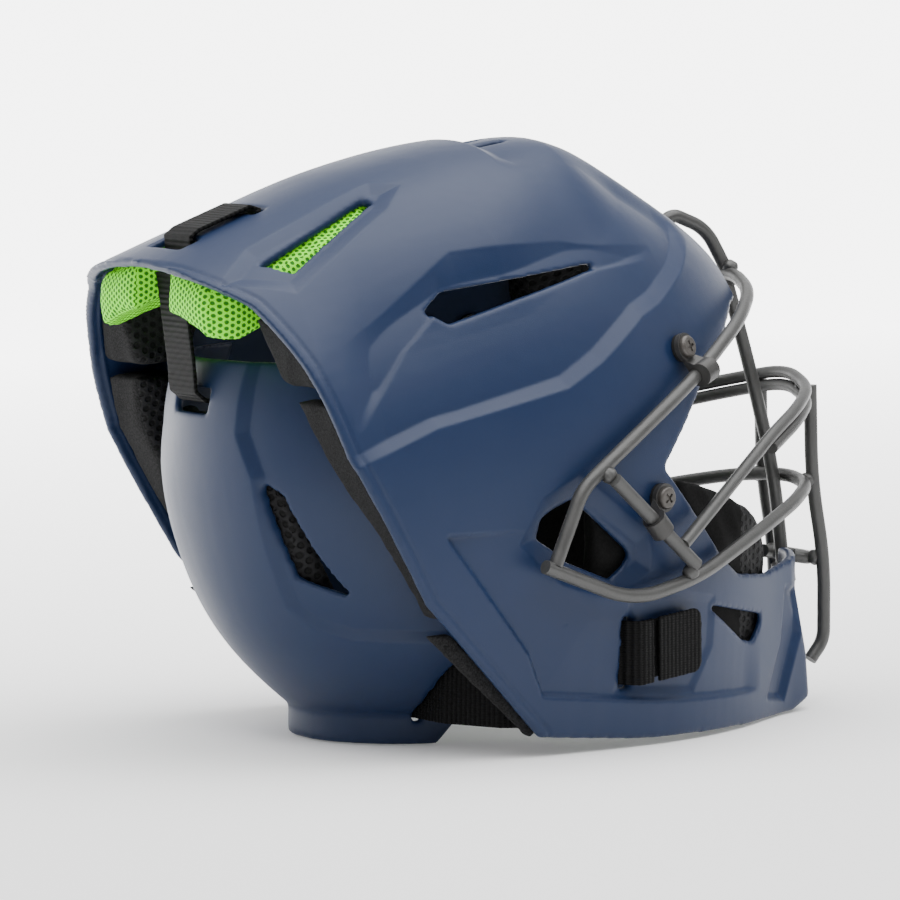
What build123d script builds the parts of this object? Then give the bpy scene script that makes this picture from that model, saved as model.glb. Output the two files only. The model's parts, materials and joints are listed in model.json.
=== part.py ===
from build123d import *
import math
import os

# A hockey-style catcher's helmet. Millimetres, +X is the way the face looks, +Y the wearer's
# left, +Z up. The origin is under the middle of the helmet on the surface it stands on. The
# pieces are worked out in a frame whose x starts at the ear and are moved back by MIDDLE_X
# when they are written. Right-hand pieces are made at -y and mirrored for the left.

# ---- Driving dimensions -------------------------------------------------------------------
WALL = 4.0                  # moulded wall of both shells
FIT = 0.4                   # gap between a pad and what it is stuck to
MIDDLE_X = 16.4             # middle of the finished helmet, in the working frame below
SPAN = 200.0                # half reach of a cutter that goes right through
NARROWEST = 4.0             # least half width of a section, however far it is drawn in

CROWN_POWER = 2.3           # how square the shell is across its shoulders
WIDEST_Z = 118.0            # height of the widest part of the shell
BROW_CENTRE_X = 40.0        # middle of the rounded brow, seen from above
BROW_A = 92.0               # its forward half axis
BROW_B = 108.0              # its sideways half axis
BROW_Z = 193.0              # the brow's lower edge at the middle
BROW_TAPER = 24.0           # lean of the brow face above that edge, degrees
CHIN_WALL = 5.0             # wall of the chin's front

# Cross sections of the helmet's outer form: x, crown height, half width, half width at the hem
STATIONS = [
    (-178, 207, 121, 118),
    (-159, 214.5, 121, 117.5),
    (-140, 222, 121, 116.5),
    (-120, 230, 120.5, 115),
    (-98, 238.5, 120, 113),
    (-72, 248.5, 119, 110.5),
    (-44, 257, 117, 108),
    (-16, 263, 114.5, 106),
    (12, 266, 111, 103),
    (38, 264.5, 105.5, 99),
    (64, 253, 97.5, 93),
    (90, 238, 86, 83),
    (115, 222, 71, 69),
    (138, 201, 55, 52.5),
    (158, 180, 42, 40),
    (186, 160, 25.5, 23.5),
]

# Side outlines, x and z
REAR_RIM = [
    (-159.5, 216), (-156, 209), (-142, 198), (-130, 173), (-115, 133), (-78.5, 70.4), (-16.5, 8.3),
]
FACE_OPENING = [
    (132, 193), (118, 190), (79, 158.7), (50.3, 122.8), (92, 79), (105.4, 70.6), (130, 67.7), (165, 73),
]
CHIN_CENTRE_X = 115.0       # middle of the chin's rounded front, seen from above
CHIN_CORNER_X = 140.0       # where the chin's sides turn into its front
CHIN_FRONT = [(59.5, 140), (59.5, 56), (64.7, 26), (66, 8), (66, -60)]   # radius and height
HEM = [(-16.5, 8.3), (40, 3.0), (142.6, 0.0), (160, 0.5), (178, 8)]
NOTCH_HALF = 12.0           # notch over the chin clip
NOTCH_BOTTOM_Z = 57.5
EAR_HOLE = [
    (-21.4, 95.7), (-19.3, 104.3), (-14.1, 107.2), (-2, 112.1), (29, 87.8), (30.6, 85),
    (26.4, 80), (19.6, 75.5), (-5.6, 85.1), (-13.5, 91.3),
]
SIDE_VENT = [(-56.3, 206.9), (25.9, 217.7), (22.6, 214), (-56.3, 192.4), (-67.1, 198.1)]
JAW_VENT = [(80.4, 59.2), (126.8, 49.4), (125.8, 45), (120, 38), (110.9, 39.9)]
CROWN_VENT = [(-127, 57), (-68, 43), (-67, 49), (-117, 70)]          # seen from above, x and y
TOP_VENT = [(0, 5), (21, 7), (21, 13), (0, 13)]                      # seen from above, x and y

# Pads inside the front shell, x and z unless they say otherwise
CROWN_REAR_PAD = [(-152, 14), (-152, 50), (-138, 60), (-64, 54), (-60, 14)]   # seen from above
CROWN_FRONT_PAD = [(-38, -46), (60, -38), (60, 38), (-38, 46)]                # seen from above
UPPER_SIDE_PAD = [(-136, 193), (-128, 176), (-123, 163), (-84, 163), (-78, 188), (-112, 197)]
LOWER_SIDE_PAD = [
    (-121, 158), (-112, 134), (-96, 107), (-80, 80), (-70, 63), (-50, 64), (-52, 96), (-84, 158),
]
SIDE_PAD_INNER = 66.0       # nearest that the side pads come to the middle plane
RIM_TRIM = [(-76, 57), (-64, 57), (-10, 14), (-19, 8)]
BROW_PAD = [(80, 168), (118, 196), (150, 198), (150, 240), (92, 240), (70, 200)]
CHEEK_PAD = [(12, 57), (56, 57), (78, 84), (44, 120), (62, 146), (52, 158), (12, 130)]
JAW_PAD = [(84, 36), (134, 36), (136, 85), (128, 95), (108, 104), (68, 116), (61, 109), (83, 84)]
CHIN_PAD = [(140, 26), (164, 26), (164, 52), (152, 56), (140, 56)]
SOFT_PAD = 20.0
SIDE_PAD = 28.0
THIN_PAD = 13.0
TRIM = 5.0

# Back plate, a bowl about an upright axis: radius and height down its outside
PLATE_X = -28.0
PLATE_PROFILE = [
    (98, 171), (102, 160), (105, 139), (104.5, 113), (98.6, 86), (88, 59), (75, 39), (61, 24), (51, 15),
]
FLANGE_R = 48.5
FLANGE_H = 13.0
PLATE_EDGE = [
    (-66, 180), (-70, 140), (-55, 80), (-30, 45), (-4, 34), (0, 27), (-20, 14), (-36, -2), (-38, -5),
]
PLATE_ROOM = [              # radius and height of the space kept clear round the plate
    (0, 0), (54, 0), (54, 15), (64, 24), (78, 39), (91, 59), (102, 86), (108, 113), (108.5, 139),
    (106, 160), (103, 184), (0, 184),
]
PLATE_SWINGS = (0, 6, 12)   # degrees at which that space is kept clear
PLATE_VENT = [(45, 120), (55, 114), (69, 70), (51, 78)]              # seen from behind, y and z
PLATE_PAD_HALF = 52.0

# Straps, x and z paths of the top one and x and y paths of the side ones
WEB_T = 1.8
TOP_WEB_W = 25.0
SIDE_WEB_W = 29.0
STRAP_PIVOT = (-131.5, 153.0)
TOP_LOOP = [
    (-136.3, 213), (-136.8, 224.8), (-133, 227.6), (-107.5, 237.4), (-104, 236.2), (-104.5, 224),
]
TOP_DROP = [(-141, 209), (-135.6, 170), (-134.6, 157), (-129.5, 153), (-121, 152)]
REAR_STRAP = [(-43.5, -40), (-41, -66), (-27, -91), (-19, -95), (19, -91.5)]
REAR_STRAP_Z = 26.0
TAB_PLACE = (51.0, 44.0)                                             # side view, x and z
TAB_RISE = 0.07                                                      # its climb towards the front
TAB_START = -6.8
TAB_END = 20.5
FRONT_STRAP = [                                                      # the tab's frame, along and off
    (-34, -9.5), (-26, -9.2), (-22.5, -5.5), (-20, 0.5), (-18.3, 3.0), (-16, 3.8), (-9.9, 3.8),
]

# Cage
WIRE_R = 3.1
EYE_WIRE_R = 2.8
BROW_BAR = [
    (-18.2, 122.3, 85), (-3, 119.5, 117), (9, 118, 126), (66, 102, 162), (108, 72, 184), (133, 42, 195),
    (150, 0, 202),
]
EYE_BAR = [(53.5, 111.8, 89.5), (125, 73, 132), (151, 55, 142), (172, 32, 149), (181, 0, 155)]
EYE_BAR_DROP = 6.0
JAW_BAR = [
    (-24, 123.5, 85), (26, 115, 66.5), (66, 105, 74), (118, 76, 90), (152, 52, 99), (173, 30, 104),
    (182, 0, 106),
]
CLIP_BAR = [(11, 123.5, 121), (62, 109, 80)]
CHIN_BAR = [(177, 13, 69), (183, 15.3, 68), (188, 9, 67.5), (188, 0, 67.5)]
CENTRE_BAR = [(147.2, 0, 198.2), (159.5, 0, 160), (174, 0, 108), (180.2, 0, 58)]
GUARD_BAR = [(180.2, 21, 149), (181.4, 21, 105), (188.5, 21, 67), (188.5, 21, 30), (181, 21, 21)]
TOP_BAR = [(110.5, 0, 223.4), (118, 0, 228.5), (136, 0, 221.5), (147, 0, 203.0)]

# Clips: screw place on the shell (x, z) and the wire place they hold (x, y, z)
TEMPLE_SCREW = (64.0, 174.0)
TEMPLE_WIRE = (72.0, 99.7, 164.0)
CHEEK_SCREW = (46.0, 110.0)
CHEEK_WIRE = (38.0, 115.8, 99.3)
CHIN_SCREW = (176.3, 46.0)
CHIN_LEAN = 9.8             # slope of the chin's front there, degrees
SCREW_R = 2.0
HEAD_R = 5.0
CLIP_W = 9.0
CLIP_T = 2.2
FOOT_R = 6.4                # round foot of a clip, on a washer
FOOT_Z = 1.9                # underside of that foot, above the shell
NUT_FLANGE_R = 7.0
NUT_FLANGE_T = 1.5
NUT_T = 3.0

parts = {}


def add(name, shape):
    """Keep one named piece."""
    parts[name] = shape


def both_sides(name, shape):
    """Keep a right-hand piece, made at -y, and its mirror image."""
    add(name + "_right", shape)
    add(name + "_left", mirror(shape, about=Plane.XZ))


def side_prism(points, low=-SPAN, high=SPAN):
    """A prism across the helmet from a side outline, between two y places."""
    face = Plane.XZ * make_face(Polyline(*points, close=True))
    return Pos(0, high, 0) * extrude(face, amount=high - low)


def top_prism(points, low=0.0, high=320.0):
    """An upright prism from an outline seen from above."""
    return extrude(Pos(0, 0, low) * make_face(Polyline(*points, close=True)), amount=high - low)


def rear_prism(points, low=-SPAN, high=0.0):
    """A fore-and-aft prism from an outline seen from behind, y and z."""
    plane = Plane(origin=(low, 0, 0), x_dir=(0, 1, 0), z_dir=(1, 0, 0))
    return extrude(plane * make_face(Polyline(*points, close=True)), amount=high - low)


def mirrored(points):
    """The same outline with its second value, y, on the other side."""
    return [(x, -y) for x, y in points]


def ribbon(points, thickness):
    """A closed outline of even thickness along an open path."""
    left = []
    right = []
    for index, point in enumerate(points):
        before = Vector(*points[max(index - 1, 0)])
        after = Vector(*points[min(index + 1, len(points) - 1)])
        along = (after - before).normalized()
        bend = 1.0
        if 0 < index < len(points) - 1:
            first = (Vector(*point) - before).normalized()
            bend = max(first.dot(along), 0.5)
        normal = Vector(-along.Y, along.X) * (thickness / 2 / bend)
        left.append(tuple(Vector(*point) + normal)[:2])
        right.append(tuple(Vector(*point) - normal)[:2])
    return left + right[::-1]


# ---- The helmet's form --------------------------------------------------------------------
def crown_slope(index):
    """Rise of the crown line at a station."""
    low = STATIONS[max(index - 1, 0)]
    high = STATIONS[min(index + 1, len(STATIONS) - 1)]
    return (high[1] - low[1]) / (high[0] - low[0])


def form_section(index, inset):
    """One closed cross section, drawn in by the inset."""
    x, top, half, hem = STATIONS[index]
    half = max(half - inset, NARROWEST)
    hem = max(hem - inset, 0.9 * NARROWEST)
    top = top - inset * math.hypot(1.0, crown_slope(index))
    widest = min(WIDEST_Z, 0.45 * top)
    points = [(hem, -6.0), (0.35 * hem + 0.65 * half, 0.5 * widest)]
    for degrees in (90, 72, 54, 37, 22, 10):
        angle = math.radians(degrees)
        across = half * math.sin(angle) ** (2 / CROWN_POWER)
        up = widest + (top - widest) * math.cos(angle) ** (2 / CROWN_POWER)
        points.append((across, up))
    points.append((0.0, top))
    whole = [(-y, z) for y, z in points[:-1]] + points[::-1]
    arch = Spline(*whole)
    plane = Plane(origin=(x, 0, 0), x_dir=(0, 1, 0), z_dir=(1, 0, 0))
    return plane * make_face(arch + Line(arch @ 1, arch @ 0))


def brow_limit(inset):
    """Everything inside the rounded, leaning brow and the chin's front."""
    behind = Pos(BROW_CENTRE_X - 150, 0, 150) * Box(300, 400, 400)
    chin = [(r - inset * CHIN_WALL / WALL, z) for r, z in CHIN_FRONT]
    chin_face = Plane.XZ * make_face(Polyline((0, 140), *chin, (0, -60), close=True))
    under = Pos(CHIN_CENTRE_X, 0, 0) * revolve(chin_face, Axis.Z, 360)
    under += Pos(CHIN_CORNER_X - 80, 0, 40) * Box(160, 400, 200)
    oval = Ellipse(BROW_A - inset, BROW_B - inset)
    upright = Pos(BROW_CENTRE_X, 0, 130) * extrude(oval, amount=BROW_Z - 130)
    leaning = Pos(BROW_CENTRE_X, 0, BROW_Z) * extrude(oval, amount=85, taper=BROW_TAPER)
    return behind + under + upright + leaning


forms = {}


def form(inset):
    """The solid helmet form, drawn in by the inset."""
    if inset not in forms:
        body = loft([form_section(i, inset) for i in range(len(STATIONS))])
        forms[inset] = body & brow_limit(inset)
    return forms[inset]


def skin(depth, start=WALL + FIT):
    """A layer of the form between two insets."""
    return form(start) - form(start + depth)


def skin_y(x, z):
    """Where a line from the right meets the outer form."""
    inside = form(0) & Line((x, -250, z), (x, 0, z))
    return inside.bounding_box().min.Y


def surface_at(x, z, step=3.0):
    """Place and outward direction on the right-hand side of the outer form."""
    slope_x = (skin_y(x + step, z) - skin_y(x - step, z)) / (2 * step)
    slope_z = (skin_y(x, z + step) - skin_y(x, z - step)) / (2 * step)
    return Vector(x, skin_y(x, z), z), Vector(slope_x, -1, slope_z).normalized()


# ---- Front shell --------------------------------------------------------------------------
def chin_notch():
    """The round-bottomed notch over the chin clip."""
    across = Plane(origin=(155, 0, 0), x_dir=(0, 1, 0), z_dir=(1, 0, 0))
    middle = NOTCH_BOTTOM_Z + NOTCH_HALF
    outline = Pos(0, middle) * Circle(NOTCH_HALF) + Pos(0, middle + 20) * Rectangle(2 * NOTCH_HALF, 40)
    return extrude(across * outline, amount=50)


def front_shell():
    """The one-piece crown, sides and chin."""
    shell = form(0) - form(WALL)
    shell -= side_prism([(-300, 400), (-159.5, 400)] + REAR_RIM + [(-16.5, -60), (-300, -60)])
    shell -= side_prism([(-16.6, -60)] + HEM + [(300, 8), (300, -60)])
    shell -= side_prism(FACE_OPENING + [(300, 80), (300, 193)])
    for outline in (EAR_HOLE, SIDE_VENT, JAW_VENT):
        shell -= side_prism(outline)
    shell -= chin_notch()
    for outline in (CROWN_VENT, TOP_VENT):
        shell -= top_prism(outline, 190)
        shell -= top_prism(mirrored(outline), 190)
    return shell


# ---- Cage ---------------------------------------------------------------------------------
def whole_loop(half_points):
    """A route across the face from the right-hand end to the left-hand end."""
    right = [(x, -y, z) for x, y, z in half_points]
    left = [point for point in reversed(half_points) if point[1] > 0]
    if len(half_points) > 1 and half_points[-2][0] == half_points[-1][0]:
        right = right[:-1]
    return right + left


def corner_radii(points, share=0.42):
    """The largest arc that each corner of a route has room for."""
    radii = []
    for before, here, after in zip(points, points[1:], points[2:]):
        first = Vector(*here) - Vector(*before)
        second = Vector(*after) - Vector(*here)
        turn = math.radians(first.get_angle(second))
        radii.append(share * min(first.length, second.length) / math.tan(turn / 2))
    return radii


def wire(points, radius):
    """A round wire along straight runs joined by arcs."""
    if len(points) == 2:
        path = Line(*points)
    else:
        path = FilletPolyline(*points, radius=corner_radii(points))
    start = Plane(origin=path @ 0, z_dir=path % 0)
    return sweep(start * Circle(radius), path=path)


def lowered(points, drop):
    """The same route a little lower."""
    return [(x, y, z - drop) for x, y, z in points]


def right_side(points):
    """A right-hand route from a left-hand one."""
    return [(x, -y, z) for x, y, z in points]


# ---- Clips and fasteners ------------------------------------------------------------------
def clip_frame(screw_place, wire_place):
    """Frame of a clip: origin on the shell, z out of the shell, x towards the wire."""
    point, normal = surface_at(*screw_place)
    to_wire = Vector(wire_place[0], -wire_place[1], wire_place[2]) - point
    return Plane(origin=point, x_dir=to_wire - normal * to_wire.dot(normal), z_dir=normal), to_wire


def clip_body(frame, to_wire, held):
    """A strap bent round a wire, with a round flat foot under its screw."""
    reach = to_wire.dot(frame.x_dir)
    rise = to_wire.dot(frame.z_dir)
    eye_r = WIRE_R + CLIP_T
    top = (reach - 2, rise + eye_r - 1)
    bottom = (reach, rise - eye_r + 1.2)
    seat = FOOT_Z + CLIP_T
    neck = make_face(Polyline((3, FOOT_Z), (HEAD_R + 0.4, seat - 0.1), top, bottom, close=True))
    profile = neck + Pos(reach, rise) * Circle(eye_r)
    upright = Plane(origin=frame.origin, x_dir=frame.x_dir, z_dir=frame.y_dir * -1)
    body = extrude(upright * profile, amount=CLIP_W / 2, both=True)
    body += frame * (Pos(0, 0, FOOT_Z + CLIP_T / 2) * Cylinder(FOOT_R, CLIP_T))
    hole = frame * Cylinder(SCREW_R + 0.1, 40)
    return body - held - hole


def screw(frame, seat, reach):
    """A domed screw: its head sits at the seat height and its shank reaches into the shell."""
    head = Pos(0, 0, seat + 1.1) * Cylinder(HEAD_R, 2.2)
    head = fillet(head.edges().filter_by(GeomType.CIRCLE).sort_by(Axis.Z)[-1], 1.4)
    slots = Pos(0, 0, seat + 2.2) * (Box(5.2, 1.1, 1.6) + Box(1.1, 5.2, 1.6))
    shank = Pos(0, 0, (seat - reach) / 2) * Cylinder(SCREW_R, seat + reach)
    return frame * (head + shank - slots)


def nut(frame, depth):
    """A wide-flanged nut inside the shell."""
    flange = Pos(0, 0, -depth - NUT_FLANGE_T / 2) * Cylinder(NUT_FLANGE_R, NUT_FLANGE_T)
    barrel = Pos(0, 0, -depth - NUT_T) * extrude(RegularPolygon(4.6, 6), amount=NUT_T)
    bore = Cylinder(SCREW_R + 0.05, 60)
    return frame * (flange + barrel - bore)


def washer(frame):
    """A rubber washer between the clip and the shell."""
    return frame * (Pos(0, 0, 1.05) * (Cylinder(6.2, 1.4) - Cylinder(SCREW_R + 0.2, 4)))


def chin_fixing(shell):
    """Keep the chin's clip, screw and nut, and return the shell with its hole."""
    x, z = CHIN_SCREW
    lean = math.radians(CHIN_LEAN)
    frame = Plane(
        origin=(x, 0, z),
        x_dir=(-math.sin(lean), 0, math.cos(lean)),
        z_dir=(math.cos(lean), 0, math.sin(lean)),
    )
    end = frame.to_local_coords(Vector(*CENTRE_BAR[-1]))
    block = Pos(end.X + 2, 0, end.Z) * (Rot(0, 90, 0) * Cylinder(WIRE_R + CLIP_T, CLIP_W))
    foot = Pos(2, 0, 2.1) * Box(17, 12, CLIP_T)
    neck = Pos(8.2, 0, 2.4) * Box(4.6, 8, 3.6)
    hole = frame * Cylinder(SCREW_R + 0.1, 40)
    add("chin_clip", frame * (block + foot + neck) - wire(CENTRE_BAR, WIRE_R + 0.1) - hole)
    add("chin_screw", screw(frame, 3.3, CHIN_WALL + 3))
    add("chin_nut", nut(frame, CHIN_WALL + 1.5))
    return shell - hole


def top_bar_hole():
    """Room in the crown for the end of the top bar."""
    first, second = TOP_BAR[:2]
    along = Vector(*second) - Vector(*first)
    plane = Plane(origin=Vector(*first) - along * 0.5, z_dir=along)
    return extrude(plane * Circle(WIRE_R + 0.5), amount=2 * along.length)


# ---- Back plate ---------------------------------------------------------------------------
def bowl(inset, low=-1.0):
    """A solid bowl of the back plate's outside, drawn in by the inset."""
    rim = [(r - inset, z) for r, z in PLATE_PROFILE]
    curve = Spline(*rim)
    flange = FLANGE_R - inset
    foot = Polyline(rim[-1], (flange, FLANGE_H), (flange, low), (0, low), (0, rim[0][1]), rim[0])
    section = Plane.XZ * make_face(curve + foot)
    return Pos(PLATE_X, 0, 0) * revolve(section, Axis.Z, 360)


def back_plate():
    """The bowl behind the head, open below and to the front."""
    plate = bowl(0) - bowl(WALL)
    front = [(SPAN, 190), (PLATE_EDGE[0][0], 190)] + PLATE_EDGE + [(SPAN, -5)]
    plate -= side_prism(front)
    plate -= Pos(0, 0, -SPAN / 2) * Box(2 * SPAN, 2 * SPAN, SPAN)
    plate -= rear_prism(PLATE_VENT, -SPAN, PLATE_X)
    plate -= rear_prism(mirrored_first(PLATE_VENT), -SPAN, PLATE_X)
    slot_x, slot_z = STRAP_PIVOT
    plate -= Pos(slot_x, 0, slot_z) * Box(24, TOP_WEB_W + 4, 11)
    slot = rear_strap(REAR_STRAP[:3], WEB_T + 2.4, SIDE_WEB_W + 3)
    return plate - slot - mirror(slot, about=Plane.XZ)


def mirrored_first(points):
    """The same outline with its first value, y, on the other side."""
    return [(-y, z) for y, z in points]


# ---- Straps -------------------------------------------------------------------------------
def rear_strap(route, thickness=WEB_T, width=SIDE_WEB_W):
    """An upright band along a route seen from above."""
    return top_prism(ribbon(route, thickness), REAR_STRAP_Z - width / 2, REAR_STRAP_Z + width / 2)


def top_band(route, thickness=WEB_T, width=TOP_WEB_W):
    """A band on the middle plane along a route seen from the side."""
    return side_prism(ribbon(route, thickness), -width / 2, width / 2)


def tab_frame():
    """Frame of a cheek tab: origin on the shell, z out of the shell, x towards the face."""
    point, normal = surface_at(*TAB_PLACE)
    along = Vector(1, 0, TAB_RISE)
    along = along - normal * along.dot(normal)
    return Plane(origin=point, x_dir=along, z_dir=normal)


def tab_band(frame, route, thickness, width):
    """A band along a route given in the tab's own frame, x along it and z off the shell."""
    upright = Plane(origin=frame.origin, x_dir=frame.x_dir, z_dir=frame.y_dir * -1)
    face = upright * make_face(Polyline(*ribbon(route, thickness), close=True))
    return extrude(face, amount=width / 2, both=True)


def tab_plate(frame, start, end, low, high, width, corner):
    """A flat layer of the tab with its front corners rounded."""
    plate = Pos((start + end) / 2, 0, (low + high) / 2) * Box(end - start, width, high - low)
    front = plate.edges().filter_by(Axis.Z).sort_by(Axis.X)[-2:]
    return frame * fillet(front, corner)


def build_straps(shell):
    """Keep every strap and return the shell with its slots."""
    add("top_strap_outer", top_band(TOP_LOOP))
    add("top_strap_drop", top_band(TOP_DROP))
    slot_half = TOP_WEB_W / 2 + 2
    for low, high in ((-144.0, -133.6), (-107.5, -101.0)):
        shell -= Pos((low + high) / 2, 0, 225) * Box(high - low, 2 * slot_half, 60)
    both_sides("side_strap_rear", rear_strap(REAR_STRAP))
    frame = tab_frame()
    slot_route = [(-28, -9.4), (-26, -9.2), (-22.5, -5.5), (-20, 0.5), (-18.5, 6)]
    slot = tab_band(frame, slot_route, 6.4, SIDE_WEB_W + 3)
    both_sides("side_strap_front", tab_band(frame, FRONT_STRAP, WEB_T, SIDE_WEB_W))
    both_sides("strap_end", tab_plate(frame, TAB_START, TAB_END, 2.9, 4.7, SIDE_WEB_W, 5))
    both_sides("hook_patch", tab_plate(frame, TAB_START + 4, TAB_END - 3, 2.0, 2.8, SIDE_WEB_W - 5, 3))
    patch = tab_plate(frame, TAB_START - 4, TAB_END - 1, -3.0, 1.7, SIDE_WEB_W - 3, 3) - form(0)
    both_sides("loop_patch", patch)
    return shell - slot - mirror(slot, about=Plane.XZ)


# ---- Pads ---------------------------------------------------------------------------------
def clear_of_plate(pad):
    """A pad cut back to leave room for the back plate as it swings."""
    section = Plane.XZ * make_face(Polyline(*PLATE_ROOM, close=True))
    room = Pos(PLATE_X, 0, 0) * revolve(section, Axis.Z, 360)
    pivot = Pos(STRAP_PIVOT[0], 0, STRAP_PIVOT[1])
    for degrees in PLATE_SWINGS:
        pad -= pivot * Rot(0, degrees, 0) * pivot.inverse() * room
    return pad


def build_pads(pockets):
    """Keep every pad, with room for the nuts and straps."""
    soft = skin(SOFT_PAD)
    thin = skin(THIN_PAD)
    low = -SPAN
    both_sides("crown_rear_pad", soft & top_prism(mirrored(CROWN_REAR_PAD), 150))
    add("crown_front_pad", thin & top_prism(CROWN_FRONT_PAD, 180))
    thick = skin(SIDE_PAD)
    for name, outline in (("side_pad_upper", UPPER_SIDE_PAD), ("side_pad_lower", LOWER_SIDE_PAD)):
        both_sides(name, clear_of_plate(thick & side_prism(outline, low, -SIDE_PAD_INNER)))
    both_sides("cheek_pad", (thin & side_prism(CHEEK_PAD, low, 0)) - pockets)
    both_sides("jaw_pad", thin & side_prism(JAW_PAD, low, 0))
    both_sides("rim_foam", skin(TRIM) & side_prism(RIM_TRIM, low, 0))
    add("brow_pad", thin & side_prism(BROW_PAD))
    add("chin_pad", thin & side_prism(CHIN_PAD, -24, 24))
    top = Pos(0, 0, 95) * Box(2 * SPAN, 2 * PLATE_PAD_HALF, 104)
    behind = Pos(-SPAN / 2 + PLATE_X - 50, 0, 100) * Box(SPAN, 2 * SPAN, 2 * SPAN)
    add("back_plate_pad", (bowl(WALL + FIT) - bowl(WALL + FIT + THIN_PAD)) & top & behind)


def build_all():
    """Make and keep every piece."""
    shell = front_shell()

    # Cage wires, each a piece of its own, welded where they touch
    brow_route = whole_loop(BROW_BAR)
    eye_route = whole_loop(EYE_BAR)
    clip_route = right_side(CLIP_BAR)
    chin_route = whole_loop(CHIN_BAR)
    add("cage_brow_bar", wire(brow_route, WIRE_R))
    add("cage_eye_bar_upper", wire(eye_route, EYE_WIRE_R))
    add("cage_eye_bar_lower", wire(lowered(eye_route[1:-1], EYE_BAR_DROP), EYE_WIRE_R))
    add("cage_jaw_bar", wire(whole_loop(JAW_BAR), WIRE_R))
    add("cage_chin_bar", wire(chin_route, WIRE_R))
    add("cage_centre_bar", wire(CENTRE_BAR, WIRE_R))
    add("cage_top_bar", wire(TOP_BAR, WIRE_R))
    both_sides("cage_clip_bar", wire(clip_route, WIRE_R))
    both_sides("cage_guard_bar", wire(right_side(GUARD_BAR), WIRE_R))

    # Clips, screws, washers and nuts
    screws = []
    nuts = []
    washers = []
    pockets = []
    holds = (
        ("temple_clip", TEMPLE_SCREW, TEMPLE_WIRE, wire(brow_route, WIRE_R + 0.1)),
        ("cheek_clip", CHEEK_SCREW, CHEEK_WIRE, wire(clip_route, WIRE_R + 0.1)),
    )
    for name, screw_place, wire_place, held in holds:
        frame, to_wire = clip_frame(screw_place, wire_place)
        both_sides(name, clip_body(frame, to_wire, held))
        shell -= frame * Cylinder(SCREW_R + 0.1, 30)
        shell -= mirror(frame * Cylinder(SCREW_R + 0.1, 30), about=Plane.XZ)
        screws.append(screw(frame, 4.1, WALL + 3.4))
        nuts.append(nut(frame, WALL + 0.5))
        washers.append(washer(frame))
        pockets.append(frame * (Pos(0, 0, -8) * Cylinder(8.5, 12)))
    shell = chin_fixing(shell)
    hole = top_bar_hole()
    shell -= hole
    add("front_shell", build_straps(shell))
    build_pads(pockets[0] + pockets[1])
    add("back_plate", back_plate())
    for name, group in (("clip_screws", screws), ("clip_nuts", nuts), ("clip_washers", washers)):
        add(name, Compound(children=group + [mirror(item, about=Plane.XZ) for item in group]))


if __name__ == "__main__":
    build_all()
    os.makedirs("parts", exist_ok=True)
    for name, shape in parts.items():
        export_step(Pos(-MIDDLE_X, 0, 0) * shape, f"parts/{name}.step")
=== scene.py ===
import json
import math

import bmesh
import bpy
import numpy as np
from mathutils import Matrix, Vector
from mathutils.bvhtree import BVHTree

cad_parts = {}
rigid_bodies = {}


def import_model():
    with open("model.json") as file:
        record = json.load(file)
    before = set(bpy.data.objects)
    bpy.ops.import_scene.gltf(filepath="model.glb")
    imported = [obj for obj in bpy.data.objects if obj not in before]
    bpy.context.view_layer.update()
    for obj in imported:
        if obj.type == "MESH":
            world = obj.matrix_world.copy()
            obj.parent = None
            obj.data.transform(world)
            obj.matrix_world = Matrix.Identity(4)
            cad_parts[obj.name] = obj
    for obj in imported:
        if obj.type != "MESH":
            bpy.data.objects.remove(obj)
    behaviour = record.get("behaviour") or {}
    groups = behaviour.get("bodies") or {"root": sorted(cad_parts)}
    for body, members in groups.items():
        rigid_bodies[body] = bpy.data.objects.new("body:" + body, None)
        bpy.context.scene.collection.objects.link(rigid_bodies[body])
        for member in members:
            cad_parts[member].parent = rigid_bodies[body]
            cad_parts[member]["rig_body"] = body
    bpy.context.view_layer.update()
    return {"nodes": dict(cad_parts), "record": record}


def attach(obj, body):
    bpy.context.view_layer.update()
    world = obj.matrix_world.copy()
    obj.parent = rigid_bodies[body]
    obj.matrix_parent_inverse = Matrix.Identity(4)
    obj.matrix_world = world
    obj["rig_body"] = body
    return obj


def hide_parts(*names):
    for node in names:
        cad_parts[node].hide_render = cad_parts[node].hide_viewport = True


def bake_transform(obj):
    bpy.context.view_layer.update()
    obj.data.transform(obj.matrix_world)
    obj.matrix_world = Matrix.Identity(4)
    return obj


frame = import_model()
nodes = frame["nodes"]
MM = 0.001
MIDDLE_X = 16.4             # places below are in millimetres, with x counted from the ear
SIDES = ("left", "right")
X, Y, Z = 0, 1, 2
FAR = 1e9                   # further than any distance measured here
SAME_PLACE = 1e-6           # vertices nearer than this, in metres, are one


# ---- Mesh helpers -------------------------------------------------------------------------
def values_of(items, key, width=1, kind=np.float32):
    """One property of every item of a mesh, as an array."""
    values = np.empty(len(items) * width, kind)
    items.foreach_get(key, values)
    return values.reshape(-1, width) if width > 1 else values


def points_of(mesh):
    """Vertex places as an array."""
    return values_of(mesh.vertices, "co", 3).astype(float)


def set_points(mesh, points):
    """Put the vertices at these places."""
    mesh.vertices.foreach_set("co", points.astype(np.float32).ravel())
    mesh.update()


def places_of(mesh):
    """Vertex places in millimetres, with x counted from the ear."""
    return points_of(mesh) / MM + (MIDDLE_X, 0, 0)


def set_places(mesh, places):
    """Put the vertices at these places, in millimetres."""
    set_points(mesh, (places - (MIDDLE_X, 0, 0)) * MM)


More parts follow.
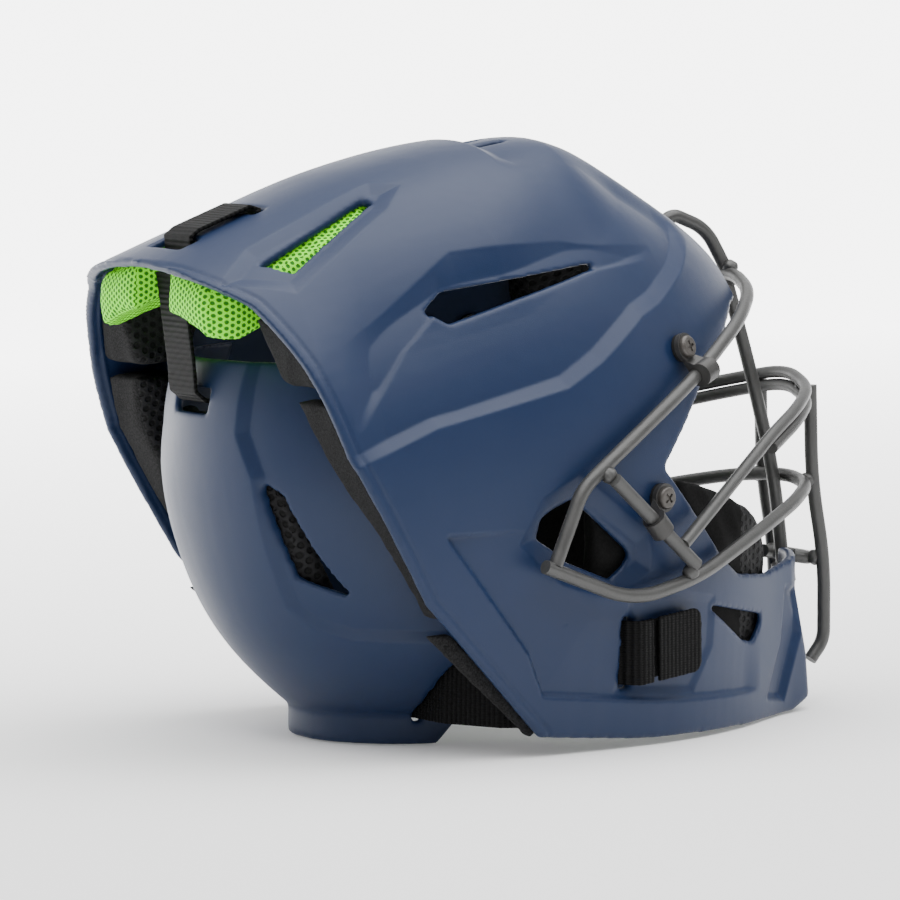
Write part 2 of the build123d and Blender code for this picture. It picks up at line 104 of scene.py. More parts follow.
def relax(mesh, passes, strength=0.5):
    """Even out a mesh: each vertex moves towards the middle of its neighbours and part way back."""
    points = points_of(mesh)
    first, second = values_of(mesh.edges, "vertices", 2, np.int32).T
    count = np.bincount(np.r_[first, second], minlength=len(points))[:, None]
    count = np.maximum(count, 1)
    for _ in range(passes):
        for step in (strength, -0.5 * strength):
            middle = np.zeros_like(points)
            for axis in (X, Y, Z):
                middle[:, axis] += np.bincount(first, points[second, axis], len(points))
                middle[:, axis] += np.bincount(second, points[first, axis], len(points))
            points += step * (middle / count - points)
    set_points(mesh, points)


def smooth_shade(mesh):
    """Smooth shading everywhere."""
    mesh.polygons.foreach_set("use_smooth", [True] * len(mesh.polygons))
    mesh.update()


def apply_modifiers(piece):
    """Swap a piece's mesh for the one that its modifiers make."""
    evaluated = piece.evaluated_get(bpy.context.evaluated_depsgraph_get())
    made = bpy.data.meshes.new_from_object(evaluated)
    piece.modifiers.clear()
    piece.data = made


def remeshed(node, voxel, name, rides=True):
    """A fine, even copy of a CAD node, which it then stands for."""
    source = nodes[node]
    mesh = source.data.copy()
    mesh.name = name
    piece = bpy.data.objects.new(name, mesh)
    bpy.context.scene.collection.objects.link(piece)
    work = bmesh.new()
    work.from_mesh(mesh)
    bmesh.ops.remove_doubles(work, verts=work.verts, dist=SAME_PLACE)
    work.to_mesh(mesh)
    work.free()
    modifier = piece.modifiers.new("even", "REMESH")
    modifier.mode = "VOXEL"
    modifier.voxel_size = voxel
    apply_modifiers(piece)
    piece.data.name = name
    if rides:
        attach(piece, source["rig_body"])
    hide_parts(node)
    return piece


def thinned(piece, ratio):
    """Fewer faces where the surface is plain."""
    modifier = piece.modifiers.new("thin", "DECIMATE")
    modifier.ratio = ratio
    apply_modifiers(piece)


def lay_texture(mesh, pairs):
    """Give a mesh its texture coordinates, one pair for each corner of each face."""
    layer = mesh.uv_layers.new(name="UVMap")
    layer.data.foreach_set("uv", pairs.astype(np.float32).ravel())


def box_mapped(piece):
    """Texture coordinates in millimetres, flat on whichever way each face looks."""
    mesh = piece.data
    corners = values_of(mesh.loops, "vertex_index", kind=np.int32)
    sizes = values_of(mesh.polygons, "loop_total", kind=np.int32)
    normals = values_of(mesh.polygons, "normal", 3)
    facing = np.repeat(np.abs(normals).argmax(1), sizes)
    place = places_of(mesh)[corners]
    across = np.where(facing == X, place[:, Y], place[:, X])
    up = np.where(facing == Z, place[:, Y], place[:, Z])
    lay_texture(mesh, np.c_[across, up])


def onto_segment(flat, start, end):
    """The share along a segment at which each point is nearest, and how the point lies from there."""
    step = end - start
    share = np.clip((flat - start) @ step / np.linalg.norm(step)**2, 0, 1)
    return share, flat - start - share[:, None] * step


def route_mapped(piece, route, axes, width_axis):
    """Texture coordinates in millimetres along a strap's route and across its width."""
    mesh = piece.data
    place = places_of(mesh)
    line = np.array(route, float)
    best = np.full(len(place), FAR)
    along = np.zeros(len(place))
    run = 0.0
    for start, end in zip(line, line[1:]):
        share, away = onto_segment(place[:, axes], start, end)
        length = np.linalg.norm(end - start)
        gap = np.linalg.norm(away, axis=1)
        nearer = gap < best
        along[nearer] = run + share[nearer] * length
        best[nearer] = gap[nearer]
        run += length
    corners = values_of(mesh.loops, "vertex_index", kind=np.int32)
    lay_texture(mesh, np.c_[along, place[:, width_axis]][corners])


def ramp(value, low, high):
    """Smooth step from 0 at low to 1 at high."""
    share = np.clip((value - low) / (high - low), 0, 1)
    return share * share * (3 - 2 * share)


def facet(value, low, high):
    """Straight slope from 0 at low to 1 at high, which leaves a crease at each end."""
    return np.clip((value - low) / (high - low), 0, 1)


def line_gap(flat, line):
    """Signed distance from points to a polyline, positive on its left."""
    line = np.array(line, float)
    best = np.full(len(flat), FAR)
    signed = np.zeros(len(flat))
    for start, end in zip(line, line[1:]):
        _, away = onto_segment(flat, start, end)
        step = end - start
        gap = np.linalg.norm(away, axis=1)
        side = np.sign(step[0] * away[:, 1] - step[1] * away[:, 0])
        nearer = gap < best
        best[nearer] = gap[nearer]
        signed[nearer] = (gap * side)[nearer]
    return signed


def in_polygon(flat, outline):
    """Whether each point is inside an outline."""
    inside = np.zeros(len(flat), bool)
    across, up = flat.T
    for (across_0, up_0), (across_1, up_1) in zip(outline, outline[1:] + outline[:1]):
        crosses = (up_0 > up) != (up_1 > up)
        with np.errstate(divide="ignore", invalid="ignore"):
            at = across_0 + (up - up_0) * (across_1 - across_0) / (up_1 - up_0)
        inside ^= crosses & (across < at)
    return inside


def panel_depth(flat, outline, slope):
    """How deep a sunken panel is: 0 outside its outline, 1 past its sloping border."""
    signed = line_gap(flat, outline + outline[:1])
    return np.where(in_polygon(flat, outline), facet(np.abs(signed), 0, slope), 0.0)


def sunk(place, depth, outward):
    """Places moved inwards by a depth, against their outward directions."""
    length = np.linalg.norm(outward, axis=1)[:, None]
    return place - depth[:, None] * outward / np.maximum(length, 1e-3)


# ---- Materials ----------------------------------------------------------------------------
NOISE_SPAN = (0.3, 0.7)     # where most of a noise texture's values lie
RIB_PITCH = 2.4             # millimetres from rib to rib along the webbing
YARN_PITCH = 1.1            # millimetres from yarn to yarn across it


def new_material(name):
    """A new material, its node tree and its shader."""
    material = bpy.data.materials.new(name)
    material.use_nodes = True
    tree = material.node_tree
    return material, tree, tree.nodes["Principled BSDF"]


def noise(tree, scale, detail):
    """Noise in object space, with so many waves to a metre."""
    place = tree.nodes.new("ShaderNodeTexCoord")
    made = tree.nodes.new("ShaderNodeTexNoise")
    made.inputs["Scale"].default_value = scale
    made.inputs["Detail"].default_value = detail
    tree.links.new(place.outputs["Object"], made.inputs["Vector"])
    return made.outputs["Fac"]


def mixed(tree, factor, low, high):
    """A colour between two colours."""
    made = tree.nodes.new("ShaderNodeMix")
    made.data_type = "RGBA"
    made.inputs["A"].default_value = (*low, 1)
    made.inputs["B"].default_value = (*high, 1)
    tree.links.new(factor, made.inputs["Factor"])
    return made.outputs["Result"]


def ranged(tree, value, low, high, to_low, to_high):
    """A value moved from one range to another, kept inside it."""
    made = tree.nodes.new("ShaderNodeMapRange")
    for key, number in (("From Min", low), ("From Max", high), ("To Min", to_low), ("To Max", to_high)):
        made.inputs[key].default_value = number
    tree.links.new(value, made.inputs["Value"])
    return made.outputs["Result"]


def calculated(tree, operation, first, second=None, third=None):
    """A math node on sockets or numbers."""
    made = tree.nodes.new("ShaderNodeMath")
    made.operation = operation
    for index, value in enumerate((first, second, third)):
        if value is None:
            continue
        if isinstance(value, (int, float)):
            made.inputs[index].default_value = value
        else:
            tree.links.new(value, made.inputs[index])
    return made.outputs["Value"]


def bumped(tree, shader, height, depth):
    """Surface relief of a real depth, in metres."""
    made = tree.nodes.new("ShaderNodeBump")
    made.inputs["Strength"].default_value = 1.0
    made.inputs["Distance"].default_value = depth
    tree.links.new(height, made.inputs["Height"])
    tree.links.new(made.outputs["Normal"], shader.inputs["Normal"])


def texture_place(tree):
    """The two texture coordinates, in millimetres."""
    place = tree.nodes.new("ShaderNodeUVMap")
    place.uv_map = "UVMap"
    split = tree.nodes.new("ShaderNodeSeparateXYZ")
    tree.links.new(place.outputs["UV"], split.inputs["Vector"])
    return split.outputs["X"], split.outputs["Y"]


def honeycomb(tree, pitch):
    """1 in the middle of each hole of a hexagonal net and falling to below 0 on its threads."""
    across, up = texture_place(tree)
    turn = 2 * math.pi / (pitch * math.sqrt(3) / 2)
    total = None
    for degrees in (0, 60, 120):
        angle = math.radians(degrees)
        first = calculated(tree, "MULTIPLY", across, math.cos(angle) * turn)
        phase = calculated(tree, "MULTIPLY_ADD", up, math.sin(angle) * turn, first)
        wave = calculated(tree, "COSINE", phase)
        total = wave if total is None else calculated(tree, "ADD", total, wave)
    return calculated(tree, "MULTIPLY", total, 1 / 3)


def moulded_plastic(name, low, high, roughness):
    """Satin injection-moulded plastic with a fine spark-eroded grain."""
    material, tree, shader = new_material(name)
    cloud = noise(tree, scale=14, detail=4)
    grain = noise(tree, scale=2600, detail=2)
    tree.links.new(mixed(tree, cloud, low, high), shader.inputs["Base Color"])
    gloss = ranged(tree, cloud, *NOISE_SPAN, roughness - 0.04, roughness + 0.05)
    tree.links.new(gloss, shader.inputs["Roughness"])
    shader.inputs["Specular IOR Level"].default_value = 0.30
    bumped(tree, shader, grain, depth=0.06 * MM)
    return material


def coated_wire(name, low, high, roughness):
    """Powder-coated steel wire with an orange-peel skin."""
    material, tree, shader = new_material(name)
    cloud = noise(tree, scale=120, detail=3)
    tree.links.new(mixed(tree, cloud, low, high), shader.inputs["Base Color"])
    gloss = ranged(tree, cloud, *NOISE_SPAN, roughness - 0.06, roughness + 0.08)
    tree.links.new(gloss, shader.inputs["Roughness"])
    shader.inputs["Metallic"].default_value = 0.35
    bumped(tree, shader, noise(tree, scale=900, detail=2), depth=0.12 * MM)
    return material


def net_fabric(name, hole, thread, pitch, depth, glow=0.0):
    """Knitted spacer net: raised threads over holes painted darker as painted shade, with an optional painted
    glow that makes the net shine though it is no lamp.
    """
    material, tree, shader = new_material(name)
    net = honeycomb(tree, pitch)
    fibre = noise(tree, scale=1800, detail=2)
    opening = ranged(tree, net, -0.15, 0.45, 0, 1)
    shade = calculated(tree, "MULTIPLY_ADD", fibre, 0.5, calculated(tree, "MULTIPLY", opening, 0.9))
    share = ranged(tree, shade, 0.2, 1.1, 0, 1)
    # Painted shade: the holes take the darker first colour, which stands in for the shade inside them
    colour = mixed(tree, share, thread, hole)
    tree.links.new(colour, shader.inputs["Base Color"])
    # Painted glow: the net's colour is also emitted, which brightens the pads as if they were lit
    tree.links.new(colour, shader.inputs["Emission Color"])
    shader.inputs["Emission Strength"].default_value = glow
    shader.inputs["Roughness"].default_value = 0.75
    shader.inputs["Specular IOR Level"].default_value = 0.25
    height = calculated(tree, "SUBTRACT", calculated(tree, "MULTIPLY", fibre, 0.12), opening)
    bumped(tree, shader, height, depth)
    return material


def webbing_fabric(name, low, high):
    """Woven nylon webbing with a rib across it every pick, its grooves painted darker than its ribs as
    painted shade.
    """
    material, tree, shader = new_material(name)
    along, across = texture_place(tree)
    rib = calculated(tree, "SINE", calculated(tree, "MULTIPLY", along, 2 * math.pi / RIB_PITCH))
    yarn = calculated(tree, "SINE", calculated(tree, "MULTIPLY", across, 2 * math.pi / YARN_PITCH))
    weave = calculated(tree, "MULTIPLY_ADD", yarn, 0.35, rib)
    fibre = noise(tree, scale=1500, detail=3)
    height = calculated(tree, "MULTIPLY_ADD", fibre, 0.6, weave)
    # Painted shade: the colour follows the weave's height, so the grooves are darker; the fibre noise adds
    # random tone
    tree.links.new(mixed(tree, ranged(tree, height, -1, 1.6, 0, 1), low, high), shader.inputs["Base Color"])
    shader.inputs["Roughness"].default_value = 0.62
    shader.inputs["Specular IOR Level"].default_value = 0.10
    bumped(tree, shader, height, depth=0.22 * MM)
    return material


def cloth(name, low, high, speckle, depth, roughness=0.9):
    """Brushed cloth, open foam or rubber, speckled."""
    material, tree, shader = new_material(name)
    fleck = noise(tree, scale=speckle, detail=4)
    tree.links.new(mixed(tree, ranged(tree, fleck, 0.35, 0.68, 0, 1), low, high), shader.inputs["Base Color"])
    shader.inputs["Roughness"].default_value = roughness
    shader.inputs["Specular IOR Level"].default_value = 0.12
    bumped(tree, shader, fleck, depth)
    return material


def grey(shade):
    """A colour with no tint."""
    return (shade, shade, shade)


# How each slot's look is made, then its two colours and its maker's other values in order
LOOKS = {
    "navy_plastic": (moulded_plastic, (0.0055, 0.0160, 0.052), (0.0070, 0.0195, 0.060), 0.40),
    "graphite_wire": (coated_wire, (0.050, 0.050, 0.049), (0.078, 0.078, 0.076), 0.40),
    "dark_clip": (coated_wire, (0.030, 0.029, 0.028), (0.045, 0.044, 0.042), 0.38),
    "screw_metal": (coated_wire, (0.050, 0.045, 0.040), (0.090, 0.082, 0.075), 0.34),
    "rubber_washer": (cloth, grey(0.010), grey(0.016), 700, 0.04 * MM, 0.6),
    # In the nets the first colour is painted shade in the holes, and the lime net's last value, 0.22, is the
    # strength of its painted glow
    "lime_mesh": (net_fabric, (0.012, 0.150, 0.002), (0.230, 0.950, 0.010), 2.7, 0.9 * MM, 0.22),
    "black_mesh": (net_fabric, grey(0.0008), (0.011, 0.011, 0.012), 4.6, 1.6 * MM),
    "charcoal_foam": (cloth, grey(0.004), (0.022, 0.022, 0.023), 1300, 0.2 * MM),
    "black_liner": (cloth, grey(0.003), grey(0.007), 900, 0.1 * MM),
    "black_webbing": (webbing_fabric, grey(0.0008), (0.0075, 0.0075, 0.0078)),
    "hook_and_loop": (cloth, grey(0.003), grey(0.014), 1700, 0.3 * MM),
}
looks = {name: maker(name, *values) for name, (maker, *values) in LOOKS.items()}
slot_of = {part["node"]: part["material_slot"] for part in frame["record"]["subparts"]}


def dress(piece, slot):
    """Give a piece the look of a material slot."""
    piece.data.materials.clear()
    piece.data.materials.append(looks[slot])
    return piece


# ---- Moulded shells -----------------------------------------------------------------------
# Lines and outlines as (x, z) seen from the side, and the rear panel's as (x, |y|) from above
BROW_BAND = [(-112, 131), (-73, 146), (-4, 160), (16, 170.5), (43, 189), (56, 194), (79, 207), (98, 220)]
VENT_LEDGE = [(-112, 182), (-50, 220.5), (-10, 224.5), (8, 226.5), (66, 223)]
VENT_VALLEY = [(-110, 150), (-84, 184), (-67, 198), (-56.3, 206.9), (25.9, 217.7), (66, 221)]
REAR_PANEL = [(-150, 62), (-128, 46), (-62, 36), (-52, 47), (-66, 60), (-122, 82)]
CHEEK_CREASE = [(-68, 98), (-24, 46), (-15.6, 27.4), (50, 20), (128.7, 15.7)]
STRAP_PANEL = [(24, 24), (30, 70), (60, 68), (86, 63), (86, 40), (74, 20)]
EAR_PANEL = [(-32, 94), (-20, 114), (0, 123), (42, 95), (42, 78), (22, 67), (-8, 75)]
CHIN_PANEL = [(134, 9), (147, 34), (150, 60), (166, 58), (165, 36), (152, 6)]
RIM_LINE = [(-156, 209), (-142, 198), (-130, 173), (-115, 133), (-78.5, 70.4), (-16.5, 8.3)]

# How deep each feature is, and over what stretch of x, |y| or z it comes in or fades
BAND_DEPTH = 4.4
BAND_WIDTH = 5.5            # of the slope above the band, at the back
BAND_FLARE = 4.5            # added to that width towards the front
BAND_FLARE_X = (-60, 60)
BAND_REAR_X = (-124, -96)
BAND_FRONT_X = (84, 104)
BAND_Y = (22, 44)
CROWN_LEAN = 0.06           # how much more the crown's sides lean in above the band
CROWN_LEAN_REACH = 30
CROWN_LEAN_FADE = (40, 78)
VALLEY_DEPTH = 4.6
VALLEY_FOOT = 4             # width of the valley's short lower slope
VALLEY_REAR_X = (-112, -80)
VALLEY_FRONT_X = (12, 64)
VALLEY_Y = (48, 64)
CROWN_TOP_Z = (190, 205)
REAR_PANEL_DEPTH = 2.4
REAR_PANEL_SLOPE = 7
NOTCH_X = (-3.0, 6.0, 34.0)  # the crown's wedge-shaped step: its back, its lowest line, its front
NOTCH_DEPTH = 4.0
NOTCH_Y = (34, 56)
LOW_SIDE_Y = (42, 56)
CHEEK_DEPTH = 2.4
CHEEK_STEP = (-1.2, 0.6)    # where the cheek's step falls, across the crease
CHEEK_FADE = (3, 34)        # where it comes back up
CHEEK_TOP_Z = 100
CHEEK_FRONT_X = (112, 128)
CHIN_Y = (22, 27)
RIM_GROOVE_DEPTH = 0.8
RIM_GROOVE_INSET = 5.0      # from the rim to the groove's middle
RIM_GROOVE_HALF = 1.3       # half the groove's width
DEEPEST = 7.0               # most that any sculpting sinks the surface

# Sunken side panels: outline, depth, width of the sloping border, and the |y| where they come in
SIDE_PANELS = (
    (STRAP_PANEL, 1.4, 4, LOW_SIDE_Y),
    (EAR_PANEL, 2.6, 8, LOW_SIDE_Y),
    (CHIN_PANEL, 2.6, 3, CHIN_Y),
)

# The front shell sinks towards the part of the middle plane that is below and behind these
CORE_TOP_Z = 118
CORE_FRONT_X = 120
CORE_FRONT_PULL = 0.6       # share of the way back that counts


def band_depth(x, y, side_view):
    """The crown's step in above the brow band, and its further lean."""
    above = line_gap(side_view, BROW_BAND)
    width = BAND_WIDTH + BAND_FLARE * facet(x, *BAND_FLARE_X)
    lean = BAND_DEPTH * facet(above, 0, 1) * facet(above / width, 0, 1)
    lean += CROWN_LEAN * np.clip(above - width, 0, CROWN_LEAN_REACH)
    lean *= 1 - ramp(above, *CROWN_LEAN_FADE)
    return lean * ramp(np.abs(y), *BAND_Y) * facet(x, *BAND_REAR_X) * (1 - ramp(x, *BAND_FRONT_X))


def valley_depth(x, y, side_view):
    """The sunken facet round the side vent, between a ledge above and a line below."""
    below_ledge = -line_gap(side_view, VENT_LEDGE)
    above_valley = line_gap(side_view, VENT_VALLEY)
    share = np.clip(below_ledge, 0, None) / np.maximum(below_ledge + np.abs(above_valley), 1.0)
    valley = np.where(above_valley > 0, share, 1 - facet(-above_valley, 0, VALLEY_FOOT))
    valley *= facet(below_ledge, 0, 1) * facet(x, *VALLEY_REAR_X) * (1 - facet(x, *VALLEY_FRONT_X))
    return VALLEY_DEPTH * valley * ramp(np.abs(y), *VALLEY_Y)


def sculpt_front(place):
    """Creases, ledges and sunken panels of the front shell."""
    x, y, z = place.T
    side_view = place[:, [X, Z]]
    top_view = np.c_[x, np.abs(y)]
    depth = band_depth(x, y, side_view)
    depth += valley_depth(x, y, side_view)

    high = ramp(z, *CROWN_TOP_Z)
    depth += REAR_PANEL_DEPTH * panel_depth(top_view, REAR_PANEL, REAR_PANEL_SLOPE) * high
    back, lowest, front = NOTCH_X
    wedge = facet(x, back, lowest) * (1 - facet(x, lowest, front))
    depth += NOTCH_DEPTH * wedge * (1 - ramp(np.abs(y), *NOTCH_Y)) * high

    past = line_gap(side_view, CHEEK_CREASE)
    step = facet(past, *CHEEK_STEP) * (1 - facet(past, *CHEEK_FADE)) * (z < CHEEK_TOP_Z)
    depth += CHEEK_DEPTH * step * ramp(np.abs(y), *LOW_SIDE_Y) * (1 - ramp(x, *CHEEK_FRONT_X))
    for outline, panel, slope, reach in SIDE_PANELS:
        depth += panel * panel_depth(side_view, outline, slope) * ramp(np.abs(y), *reach)

    from_rim = np.abs(line_gap(side_view, RIM_LINE))
    groove = 1 - facet(np.abs(from_rim - RIM_GROOVE_INSET), 0, RIM_GROOVE_HALF)
    depth += RIM_GROOVE_DEPTH * groove * (x < 0)
    depth = np.minimum(depth, DEEPEST)
    forward = np.clip(x - CORE_FRONT_X, 0, None) * CORE_FRONT_PULL
    return sunk(place, depth, np.c_[forward, y, np.clip(z - CORE_TOP_Z, 0, None)])


PLATE_AXIS_X = -28.0
PLATE_ARC = 1.75            # millimetres round the plate for one degree
PLATE_CREASE = [(20, 180), (19, 140), (24, 121), (26, 90), (29, 64), (36, 55), (48, 50), (120, 47)]
PLATE_PANEL_DEPTH = 2.8
PLATE_PANEL_SLOPE = 5.5


def sculpt_plate(place):
    """The back plate's sunken side panels and the step over its foot."""
    x, y, z = place.T
    round_back = np.degrees(np.arctan2(np.abs(y), PLATE_AXIS_X - x))
    unrolled = np.c_[PLATE_ARC * round_back, z]
    crease = [(PLATE_ARC * angle, height) for angle, height in PLATE_CREASE]
    depth = PLATE_PANEL_DEPTH * facet(line_gap(unrolled, crease), 0, PLATE_PANEL_SLOPE)
    return sunk(place, depth, np.c_[x - PLATE_AXIS_X, y, np.zeros(len(x))])


EDGE_PASSES = 14            # of easing before the sculpting
CREASE_PASSES = 1           # and after it
FACES_KEPT = 0.45           # share of a shell's faces left after thinning


def shell_piece(name, voxel, sculpt):
    """A moulded shell with eased edges and its sculpted surface."""
    piece = remeshed(name, voxel * MM, name + "_moulding")
    relax(piece.data, EDGE_PASSES)
    set_places(piece.data, sculpt(places_of(piece.data)))
    relax(piece.data, CREASE_PASSES)
    thinned(piece, FACES_KEPT)
    smooth_shade(piece.data)
    dress(piece, slot_of[name])


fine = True
shell_piece("front_shell", 0.95 if fine else 1.3, sculpt_front)
shell_piece("back_plate", 1.0 if fine else 1.4, sculpt_plate)


# ---- Pads ---------------------------------------------------------------------------------
PAD_REACH = 12.0            # how far into a pad the shell's creases are felt
PAD_SOFTNESS = 0.6          # strength of the easing
PUCKER_X_TURN = 0.21        # radians of pucker for each millimetre, in two crossing waves
PUCKER_Y_TURN = 0.17
PUCKER_Z_TURNS = (0.13, 0.11)
HEADWARD = -0.55            # a face looks at the head when it points outwards by less than this
JAW_SEAM_X = 112            # where the jaw pad's cover changes


def surface_tree(name):
    """The surface of a CAD piece, for finding the nearest place on it."""
    mesh = nodes[name].data
    return BVHTree.FromPolygons([v.co[:] for v in mesh.vertices], [p.vertices[:] for p in mesh.polygons])


shell_trees = {name: surface_tree(name) for name in ("front_shell", "back_plate")}


def pressed_by(shell, sculpt, mesh):
    """Vertex places of a pad with its outer side pushed in as the shell is, and its inner side kept."""
    gaps = np.array([shell_trees[shell].find_nearest(point)[3] for point in points_of(mesh)]) / MM
    share = 1 - facet(gaps, 1, PAD_REACH)
    place = places_of(mesh)
    return place + share[:, None] * (sculpt(place) - place)


def puckered(place):
    """How far each place of a pad is into a pucker, from 0 to 1."""
    x, y, z = place.T
    first_z_turn, second_z_turn = PUCKER_Z_TURNS
    wave = np.sin(x * PUCKER_X_TURN + z * first_z_turn) * np.sin(y * PUCKER_Y_TURN + z * second_z_turn + 1)
    return np.abs(wave)


def pad_piece(name, voxel, passes, pucker, faces=None, shell="front_shell", sculpt=sculpt_front):
    """A stuffed pad: eased all round, a little uneven, and pressed by the shell it is stuck to."""
    piece = remeshed(name, voxel * MM, name + "_cover")
    mesh = piece.data
    relax(mesh, passes, PAD_SOFTNESS)
    place = pressed_by(shell, sculpt, mesh)
    normals = values_of(mesh.vertices, "normal", 3)
    set_places(mesh, place - (puckered(place) * pucker)[:, None] * normals)
    smooth_shade(mesh)
    box_mapped(piece)
    dress(piece, slot_of[name])
    if faces:
        second_look, chosen = faces
        mesh.materials.append(looks[second_look])
        mesh.polygons.foreach_set("material_index", chosen(mesh).astype(np.int32))


def face_middles(mesh):
    """The middle of each face, in millimetres with x counted from the ear."""
    return values_of(mesh.polygons, "center", 3) / MM + (MIDDLE_X, 0, 0)


def towards_head(mesh):
    """Faces that look at the wearer's head."""
    sideways = values_of(mesh.polygons, "normal", 3)[:, Y]
    return sideways * np.sign(face_middles(mesh)[:, Y]) < HEADWARD


def behind_seam(mesh):
    """Faces of the jaw pad's rear part."""
    return face_middles(mesh)[:, X] < JAW_SEAM_X


for side in SIDES:
    pad_piece(f"crown_rear_pad_{side}", 1.8, 60, 0.8)
    pad_piece(f"side_pad_upper_{side}", 1.8, 26, 0.8, ("black_mesh", towards_head))
    pad_piece(f"side_pad_lower_{side}", 1.8, 26, 0.8, ("black_mesh", towards_head))
    pad_piece(f"cheek_pad_{side}", 2.0, 14, 0.5)
    pad_piece(f"jaw_pad_{side}", 1.8, 22, 0.9, ("black_liner", behind_seam))
    pad_piece(f"rim_foam_{side}", 1.2, 6, 0.2)
for name in ("crown_front_pad", "brow_pad", "chin_pad"):
    pad_piece(name, 2.2, 20, 0.7)
pad_piece("back_plate_pad", 2.2, 20, 0.7, shell="back_plate", sculpt=sculpt_plate)


# ---- Webbing ------------------------------------------------------------------------------
TOP_LOOP = [(-136.3, 213), (-136.8, 224.8), (-133, 227.6), (-107.5, 237.4), (-104, 236.2), (-104.5, 224)]
TOP_DROP = [(-141, 209), (-135.6, 170), (-134.6, 157), (-129.5, 153), (-121, 152)]
REAR_STRAP = [(-43.5, 40), (-41, 66), (-27, 91), (-19, 95), (19, 91.5)]
TAB_LINE = [(15, 40), (80, 44)]
STRAP_VOXEL = 0.65
TAB_VOXEL = 0.55
PATCH_VOXEL = 0.4
STRAP_PASSES = 4


def strap_piece(name, route, axes, width_axis, voxel=STRAP_VOXEL, rides=True):
    """Webbing with soft edges and its weave along its own length."""
    piece = remeshed(name, voxel * MM, name + "_webbing", rides)
    relax(piece.data, STRAP_PASSES)
    smooth_shade(piece.data)
    route_mapped(piece, route, axes, width_axis)
    return dress(piece, slot_of[name])


strap_piece("top_strap_outer", TOP_LOOP, [X, Z], Y)
strap_piece("top_strap_drop", TOP_DROP, [X, Z], Y)
for side in SIDES:
    sign = 1 if side == "left" else -1
    around = [(x, sign * y) for x, y in REAR_STRAP]
    band = strap_piece(f"side_strap_rear_{side}", around, [X, Y], Z, rides=False)
    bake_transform(band)
    strap_piece(f"side_strap_front_{side}", TAB_LINE, [X, Z], Z)
    strap_piece(f"strap_end_{side}", TAB_LINE, [X, Z], Z, TAB_VOXEL)
    for name in (f"hook_patch_{side}", f"loop_patch_{side}"):
        patch = remeshed(name, PATCH_VOXEL * MM, name + "_cloth")
        smooth_shade(patch.data)
        dress(patch, slot_of[name])


# ---- Cage and its fixings -----------------------------------------------------------------
WELD_RADIUS = 3.7
WELD_UNEVENNESS = 0.07      # of its radius
WELD_X_TURNS = 5            # waves of its lumps, in radians for each radius
WELD_Z_TURNS = 4
WELD_SHIFT = 900            # moves the lumps on from weld to weld, in radians for each metre


def nearest_place(first, second):
    """The place midway between two CAD pieces, where a vertex of the first is nearest to the second."""
    tree = surface_tree(second)
    best_place, best_gap = None, math.inf
    for vertex in nodes[first].data.vertices:
        place, _, _, gap = tree.find_nearest(vertex.co)
        if place is not None and gap < best_gap:
            best_place, best_gap = (place + vertex.co) / 2, gap
    return best_place


def weld(name, place, radius):
    """A small puddled weld."""
    mesh = bpy.data.meshes.new(name)
    work = bmesh.new()
    bmesh.ops.create_icosphere(work, subdivisions=4, radius=radius)
    for vertex in work.verts:
        across = math.sin(vertex.co.x / radius * WELD_X_TURNS + place[0] * WELD_SHIFT)
        lump = across * math.sin(vertex.co.z / radius * WELD_Z_TURNS)
        vertex.co *= 1 + WELD_UNEVENNESS * lump
        vertex.co += Vector(place)
    work.to_mesh(mesh)
    work.free()
    smooth_shade(mesh)
    piece = bpy.data.objects.new(name, mesh)
    bpy.context.scene.collection.objects.link(piece)
    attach(piece, "helmet")
    dress(piece, "graphite_wire")


WELDS = [
    ("cage_centre_bar", "cage_brow_bar"),
    ("cage_top_bar", "cage_brow_bar"),
    ("cage_chin_bar", "cage_guard_bar_left"),
    ("cage_chin_bar", "cage_guard_bar_right"),
]
for side in SIDES:
    WELDS += [
        (f"cage_clip_bar_{side}", "cage_brow_bar"),
        (f"cage_clip_bar_{side}", "cage_jaw_bar"),
        (f"cage_guard_bar_{side}", "cage_eye_bar_lower"),
        (f"cage_guard_bar_{side}", "cage_jaw_bar"),
    ]
for index, (first, second) in enumerate(WELDS):
    weld(f"weld_{index + 1}", nearest_place(first, second), WELD_RADIUS * MM)

# CAD pieces that nothing above stands for are shown as they are
for name, part in nodes.items():
    if not part.hide_render:
        dress(part, slot_of[name])


# ---- Floor, light and camera --------------------------------------------------------------
FLOOR_Z = -0.0006           # in metres, just under the helmet
WHITE = (1, 1, 1, 1)


def floor(reach, shade, dim, bright, depth):
    """A wide pale floor that glows behind the helmet, as a lit backdrop would, and not before it."""
    mesh = bpy.data.meshes.new("floor")
    corners = [(x * reach, y * reach, FLOOR_Z) for x, y in ((-1, -1), (1, -1), (1, 1), (-1, 1))]
    mesh.from_pydata(corners, [], [(0, 1, 2, 3)])
    piece = bpy.data.objects.new("floor", mesh)
    bpy.context.scene.collection.objects.link(piece)
    material, tree, shader = new_material("pale_floor")
    cloud = mixed(tree, noise(tree, scale=3, detail=2), grey(shade), grey(shade + 0.02))
    tree.links.new(cloud, shader.inputs["Base Color"])
    shader.inputs["Roughness"].default_value = 0.9
    shader.inputs["Specular IOR Level"].default_value = 0.1
    shader.inputs["Emission Color"].default_value = WHITE
    place = tree.nodes.new("ShaderNodeTexCoord")
    split = tree.nodes.new("ShaderNodeSeparateXYZ")
    tree.links.new(place.outputs["Object"], split.inputs["Vector"])
    glow = ranged(tree, split.outputs["Y"], 0.0, depth, dim, bright)
    tree.links.new(glow, shader.inputs["Emission Strength"])
    mesh.materials.append(material)


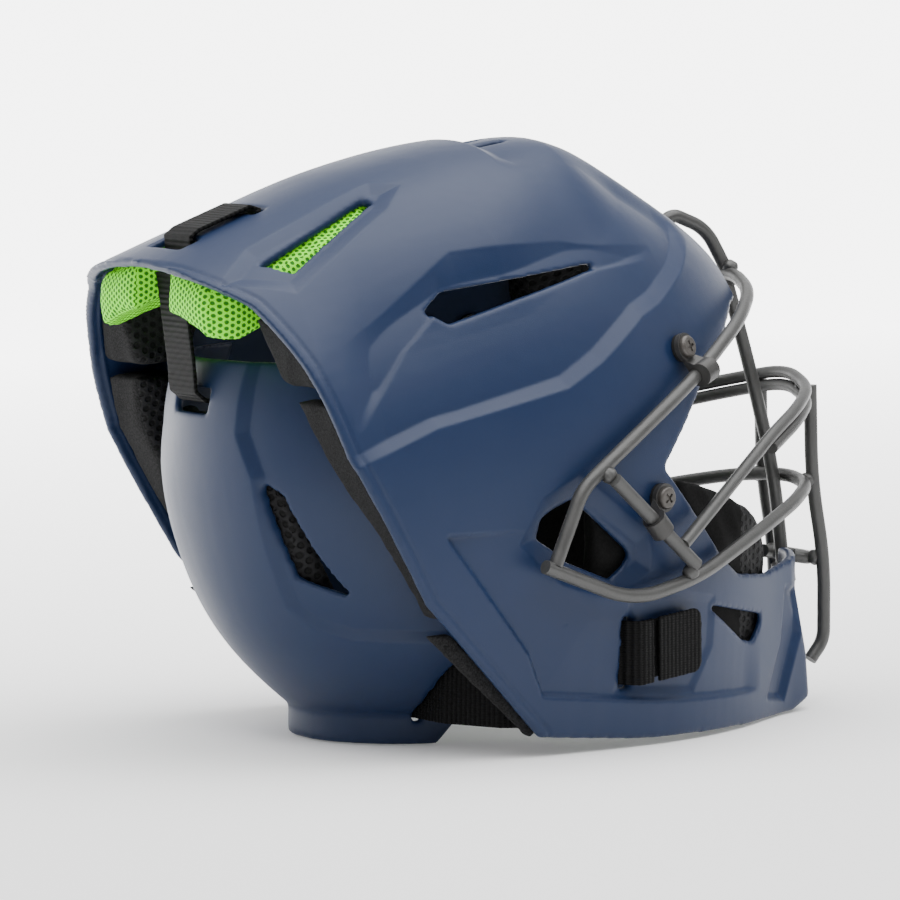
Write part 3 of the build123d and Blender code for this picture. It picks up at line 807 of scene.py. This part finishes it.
def studio_world(zenith, horizon, behind):
    """An even studio: bright overhead, bright behind the helmet and dim before it."""
    world = bpy.data.worlds.new("studio")
    world.use_nodes = True
    tree = world.node_tree
    place = tree.nodes.new("ShaderNodeTexCoord")
    split = tree.nodes.new("ShaderNodeSeparateXYZ")
    tree.links.new(place.outputs["Generated"], split.inputs["Vector"])
    overhead = ranged(tree, split.outputs["Z"], 0.15, 0.85, horizon, zenith)
    low = ranged(tree, split.outputs["Z"], 0.10, 0.45, 1, 0)
    back = ranged(tree, split.outputs["Y"], 0.10, 0.75, 0, behind)
    strength = calculated(tree, "MULTIPLY_ADD", low, back, overhead)
    tree.links.new(strength, tree.nodes["Background"].inputs["Strength"])
    tree.nodes["Background"].inputs["Color"].default_value = WHITE
    bpy.context.scene.world = world


def turn_towards(thing, direction):
    """Turn a lamp or a camera to look one way."""
    thing.rotation_mode = "QUATERNION"
    thing.rotation_quaternion = direction.to_track_quat("-Z", "Y")


def area_light(name, place, target, size, watts):
    """A soft box that faces a target."""
    data = bpy.data.lights.new(name, "AREA")
    data.shape = "RECTANGLE"
    data.size, data.size_y = size
    data.energy = watts
    lamp = bpy.data.objects.new(name, data)
    lamp.location = place
    turn_towards(lamp, Vector(target) - Vector(place))
    bpy.context.scene.collection.objects.link(lamp)


VIEW_AZIMUTH = -30.0
VIEW_ELEVATION = 5.0
VIEW_DISTANCE = 2.5
VIEW_WIDTH = 0.405
AIM = (-MIDDLE_X * MM, 0.0, 0.125)
SENSOR_WIDTH = 36
CLIP_NEAR, CLIP_FAR = 0.1, 300


def camera():
    """A long lens at the view the helmet is shown from."""
    data = bpy.data.cameras.new("camera")
    data.sensor_width = SENSOR_WIDTH
    data.lens = SENSOR_WIDTH * VIEW_DISTANCE / VIEW_WIDTH
    data.clip_start, data.clip_end = CLIP_NEAR, CLIP_FAR
    eye = bpy.data.objects.new("camera", data)
    turn, tilt = math.radians(VIEW_AZIMUTH), math.radians(VIEW_ELEVATION)
    back = Vector((math.sin(turn) * math.cos(tilt), -math.cos(turn) * math.cos(tilt), math.sin(tilt)))
    eye.location = Vector(AIM) + back * VIEW_DISTANCE
    turn_towards(eye, -back)
    bpy.context.scene.collection.objects.link(eye)
    bpy.context.scene.camera = eye


floor(reach=90.0, shade=0.88, dim=0.14, bright=5.0, depth=2.2)
area_light("top", place=(0.05, -0.25, 1.45), target=(0, 0, 0.1), size=(2.1, 2.1), watts=48)
area_light("face", place=(1.6, -0.7, 0.7), target=(0.1, 0, 0.12), size=(0.5, 0.7), watts=2.2)
studio_world(zenith=1.4, horizon=0.08, behind=4.0)
camera()
